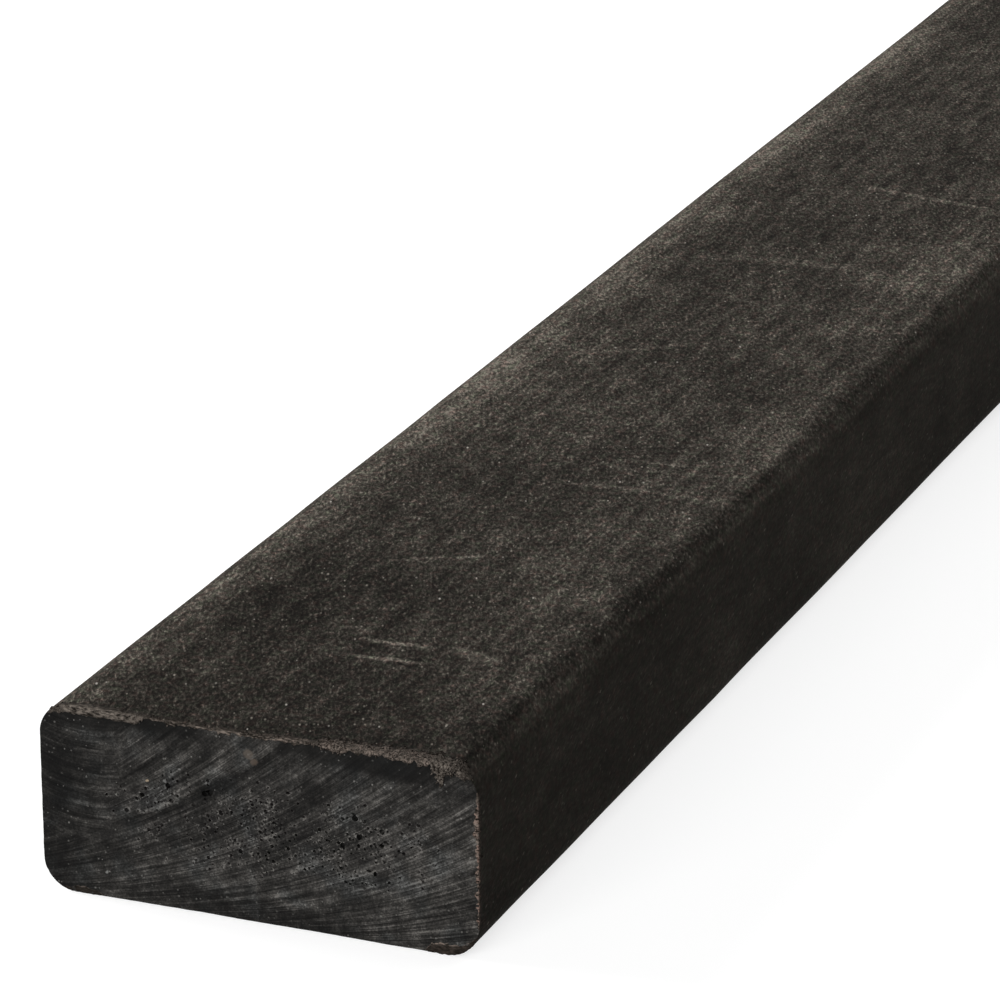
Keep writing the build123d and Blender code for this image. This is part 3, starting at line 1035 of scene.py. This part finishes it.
def makeRibbon(name, end, seed, innerOnly, keys):
    table = np.array(keys)
    first, last = table[0, 0], table[-1, 0]
    u = np.linspace(first, last, round((last - first) / tornLook["step"]) + 1)
    width, out, ragged, fray, pale, pink, back = (np.interp(u, table[:, 0], table[:, k]) for k in range(1, 8))

    def waver(size, draw, row=0, rows=4):
        return softNoise(u / size, u * 0 + row, 512, rows, seed + draw)

    width = np.maximum(width * (1 + ragged * (waver(1.1, 0) + 0.7 * waver(0.42, 1))), 0.05)
    out = np.maximum(out * (1 + 0.6 * ragged * waver(0.6, 2)), 0.02)
    back = back * (1 + 0.5 * waver(0.9, 5))
    section = np.array(tornLook["section"])
    # Painted shade: all of the ribbon but its inner edge stays dark
    if innerOnly:
        section[3:7] = tornLook["paleInside"]
    count = len(section)
    folds = np.zeros((count, 4))
    folds[:3] = tornLook["folded"]
    paleness = np.outer(pale, section[:, 4]) + np.outer(fray * np.exp(-back * 2), folds[:, 0])
    paleness += np.outer(pale * np.clip(back, 0, 1), folds[:, 1])
    s = u + perimeter / 2
    x, z, nx, nz = sectionAt(s)
    sign = -1 if end == "near" else 1
    endY = sign * boardLength / 2
    fade = np.minimum(1, width / 0.5)
    push = tornLook["unevenAcross"] * fade
    lines = []
    for k, ((outShare, forward, inShare, inward, _), (_, _, reach, lift)) in enumerate(zip(section, folds)):
        f = outShare * out + forward - reach * back + push * waver(0.5, 3, k, 32)
        i = inShare * width + inward * fade - lift * np.clip(back, 0, 1) + push * waver(0.4, 4, k, 32)
        behind = np.minimum(f, 0)
        offset = skinOffset(s, endY + sign * behind) - rollAt(x, z) * np.exp(behind / rollDepth) - i
        lines.append(np.stack([x + nx * offset, endY + sign * f, z + nz * offset], axis=1))
    points = np.stack(lines, axis=1).reshape(-1, 3)
    faces = []
    for a in range(len(u) - 1):
        for k in range(count):
            b = (k + 1) % count
            faces.append((a * count + k, a * count + b, (a + 1) * count + b, (a + 1) * count + k))
    faces.append(tuple(range(count)))
    faces.append(tuple((len(u) - 1) * count + k for k in reversed(range(count))))
    mesh = bpy.data.meshes.new(name)
    mesh.from_pydata([tuple(p) for p in points * mm], [], faces)
    paint(mesh, "fray", np.repeat(fray, count))
    paint(mesh, "pale", paleness.ravel())
    paint(mesh, "pink", np.repeat(pink, count))
    mesh.materials.append(tornMaterial)
    withBmesh(mesh, lambda solid: bmesh.ops.recalc_face_normals(solid, faces=solid.faces))
    return mesh


def scatterOnFray(tree, given):  # points where a ribbon is frayed
    density = calc(tree, "MULTIPLY", readValue(tree, "fray"), given["Density"])
    inputs = {"Mesh": given["Geometry"], "Density": density, "Seed": given["Seed"]}
    return addNode(tree, "GeometryNodeDistributePointsOnFaces", inputs).outputs


def makeFibreTree():
    tree, given, result = newGroup("frayFibres", {
        "Geometry": "Geometry", "Density": 4e6, "Shortest": 0.0004, "Longest": 0.0014, "Thickness": 0.08,
        "Down": 0.6, "Forward": -1.0, "Seed": 1, "Material": "Material",
    }, {"Geometry": "Geometry"}, "GeometryNodeTree")
    scatter = scatterOnFray(tree, given)
    bow = geo(tree, "CurveQuadraticBezier", {
        "Resolution": 5, "Start": (0, 0, -0.15), "Middle": (0.35, 0.05, 0.45), "End": (-0.1, 0.2, 1.0)})
    thinned = calc(tree, "MULTIPLY", calc(tree, "POWER", geo(tree, "SplineParameter"), 2.0), 0.75)
    tapered = geo(tree, "SetCurveRadius", {"Curve": bow, "Radius": calc(tree, "SUBTRACT", 1.0, thinned)})
    ring = geo(tree, "CurvePrimitiveCircle", {"Resolution": 4, "Radius": given["Thickness"]})
    blade = geo(tree, "CurveToMesh", {"Curve": tapered, "Profile Curve": ring, "Fill Caps": True})
    stray = randomVector(tree, (-1, -1, -1), (1, 1, 1), given["Seed"])
    lean = gather(tree, 0.0, given["Forward"], calc(tree, "MULTIPLY", given["Down"], -1.0))
    towards = vectorCalc(tree, "ADD", vectorCalc(tree, "ADD", scatter["Normal"], stray), lean)
    turn = firstOf(tree, "FunctionNodeAlignRotationToVector", {"Vector": towards}, axis="Z")
    long = blend(tree, randomShare(tree, given["Seed"], 2.0), given["Shortest"], given["Longest"])
    thick = blend(tree, 0.6, long, given["Shortest"])
    scale = gather(tree, thick, calc(tree, "MULTIPLY", thick, 0.6), long)
    curl = scaleBy(tree, drift(tree, geo(tree, "InputPosition"), 900.0), 0.0005)
    fibres = placeSolids(tree, curl, {
        "Points": scatter["Points"], "Instance": blade, "Rotation": turn, "Scale": scale})
    coated = geo(tree, "SetMaterial", {"Geometry": fibres, "Material": given["Material"]})
    tree.links.new(coated, result["Geometry"])
    return tree


def makeCrumbTree():
    tree, given, result = newGroup("sawCrumbs", {
        "Geometry": "Geometry", "Density": 3e6, "Smallest": 0.00008, "Largest": 0.0003, "Seed": 1,
        "Material": "Material"}, {"Geometry": "Geometry"}, "GeometryNodeTree")
    scatter = scatterOnFray(tree, given)
    ball = geo(tree, "MeshIcoSphere", {"Radius": 1.0, "Subdivisions": 2})
    radius = blend(tree, randomShare(tree, given["Seed"], 2.5), given["Smallest"], given["Largest"])
    scale = scaleBy(tree, randomVector(tree, (0.6, 0.6, 0.5), (1.5, 1.1, 1.1), given["Seed"]), radius)
    turn = randomVector(tree, (0, 0, 0), (6.28, 6.28, 6.28), given["Seed"])
    lumps = scaleBy(tree, drift(tree, geo(tree, "InputPosition"), 4000.0), 0.0003)
    crumbs = placeSolids(tree, lumps, {
        "Points": scatter["Points"], "Instance": ball, "Rotation": turn, "Scale": scale})
    coated = geo(tree, "SetMaterial", {"Geometry": crumbs, "Material": given["Material"]})
    tree.links.new(coated, result["Geometry"])
    return tree


def attach(piece):
    piece.data.shade_smooth()
    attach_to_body(piece, "root")


tornMaterial = makeTornMaterial()
debris = {  # what stands on a ribbon: its group, what is added to the ribbon's seed, and its settings
    "Fibres": (makeFibreTree(), 10, {
        "Density": 1.3e6, "Shortest": 0.35 * mm, "Longest": 0.9 * mm, "Thickness": 0.42, "Down": 1.1}),
    "Crumbs": (makeCrumbTree(), 20, {"Density": 2.3e6, "Smallest": 0.1 * mm, "Largest": 0.42 * mm}),
}
for name, (end, seed, innerOnly, keys) in tornRuns.items():
    ribbon = makeRibbon(name, end, seed, innerOnly, keys)
    attach(newPiece(name, ribbon))
    print(name, len(ribbon.polygons), "faces")
    if innerOnly:   # nothing is frayed there
        continue
    forward = -0.6 if end == "near" else 0.6
    for kind, (tree, added, settings) in debris.items():
        piece = newPiece(name + kind, ribbon.copy())
        addNodes(piece, tree, {
            **settings, "Forward": forward, "Seed": seed + added, "Material": tornMaterial})
        bake(piece)
        attach(piece)
        print(name + kind, len(piece.data.polygons), "faces")


# Floor, light and camera

studio = {
    "floorSize": 60.0,                     # metres
    "floorLevel": -0.2,                    # millimetres, at the lowest points of the uneven underside
    "floorColour": (0.42, 0.42, 0.42, 1.0),
    "floorGlow": 0.72,                     # what shows on top, so that the floor reads white
    "ambient": 0.2,
    # Azimuth (0 from in front, 90 from the right), elevation, strength, width in degrees
    "lamps": {"keyLeft": (-98, 24, 1.2, 34), "frontFill": (-4, 20, 0.8, 40), "backFill": (150, 38, 0.3, 40)},
}


def seenPlainly(tree):  # 1 for what the camera sees itself, through glass or in a shine
    path = addNode(tree, "ShaderNodeLightPath").outputs
    return chain(tree, "MAXIMUM", path["Is Camera Ray"], path["Is Transmission Ray"], path["Is Glossy Ray"])


def makeFloor():
    half = studio["floorSize"] / 2
    level = studio["floorLevel"] * mm
    mesh = bpy.data.meshes.new("floor")
    corners = [(-half, -half, level), (half, -half, level), (half, half, level), (-half, half, level)]
    mesh.from_pydata(corners, [], [(0, 1, 2, 3)])
    floor = newPiece("floor", mesh)
    material, tree, shader = newMaterial("floorPaper", 1.0, 0.0)
    shader.inputs["Base Color"].default_value = studio["floorColour"]
    strength = calc(tree, "MULTIPLY", seenPlainly(tree), studio["floorGlow"])
    glow = firstOf(tree, "ShaderNodeEmission", {"Strength": strength})
    both = firstOf(tree, "ShaderNodeAddShader", {0: shader.outputs[0], 1: glow})
    tree.links.new(both, tree.nodes["Material Output"].inputs["Surface"])
    mesh.materials.append(material)


def makeLight():
    world = bpy.data.worlds.new("studio")
    bpy.context.scene.world = world
    world.use_nodes = True
    tree = world.node_tree
    background = tree.nodes["Background"]
    background.inputs["Color"].default_value = (1, 1, 1, 1)
    tree.links.new(blend(tree, seenPlainly(tree), studio["ambient"], 1.0), background.inputs["Strength"])
    for name, (azimuth, elevation, strength, width) in studio["lamps"].items():
        lamp = bpy.data.lights.new(name, "SUN")
        lamp.energy = strength * math.pi
        lamp.angle = math.radians(width)
        holder = newPiece(name, lamp)
        a, e = math.radians(azimuth), math.radians(elevation)
        towards = Vector((math.sin(a) * math.cos(e), -math.cos(a) * math.cos(e), math.sin(e)))
        holder.rotation_mode = "QUATERNION"
        holder.rotation_quaternion = towards.to_track_quat("Z", "Y")
        holder.location = towards * 3


view = {"azimuth": 22.316, "elevation": 20.240, "roll": -0.271,   # degrees
        "focal": 5.313,                                           # in widths of the picture
        "nearEnd": (-44.94, 78.73, 990.29)}                       # the near end's foot, right, down and away


def makeCamera():
    a, e, roll = (math.radians(view[key]) for key in ("azimuth", "elevation", "roll"))
    ahead = Vector((-math.sin(a) * math.cos(e), math.cos(a) * math.cos(e), -math.sin(e)))
    right = Vector((math.cos(a), math.sin(a), 0))
    down = right.cross(ahead) * -1
    rightRolled = right * math.cos(roll) - down * math.sin(roll)
    downRolled = right * math.sin(roll) + down * math.cos(roll)
    rightBy, downBy, awayBy = view["nearEnd"]
    foot = Vector((0, boxLow.y, 0))
    place = foot - rightRolled * rightBy - downRolled * downBy - ahead * awayBy
    camera = bpy.data.cameras.new("camera")
    camera.sensor_width = 36
    camera.lens = view["focal"] * camera.sensor_width
    camera.clip_start, camera.clip_end = 0.05, 100
    holder = newPiece("camera", camera)
    columns = (rightRolled, -downRolled, -ahead)
    turn = Matrix([[column[row] for column in columns] for row in range(3)])
    holder.matrix_world = Matrix.Translation(place * mm) @ turn.to_4x4()
    bpy.context.scene.camera = holder


makeFloor()
makeLight()
makeCamera()
bpy.context.scene.view_settings.view_transform = "Standard"
print("studio set")
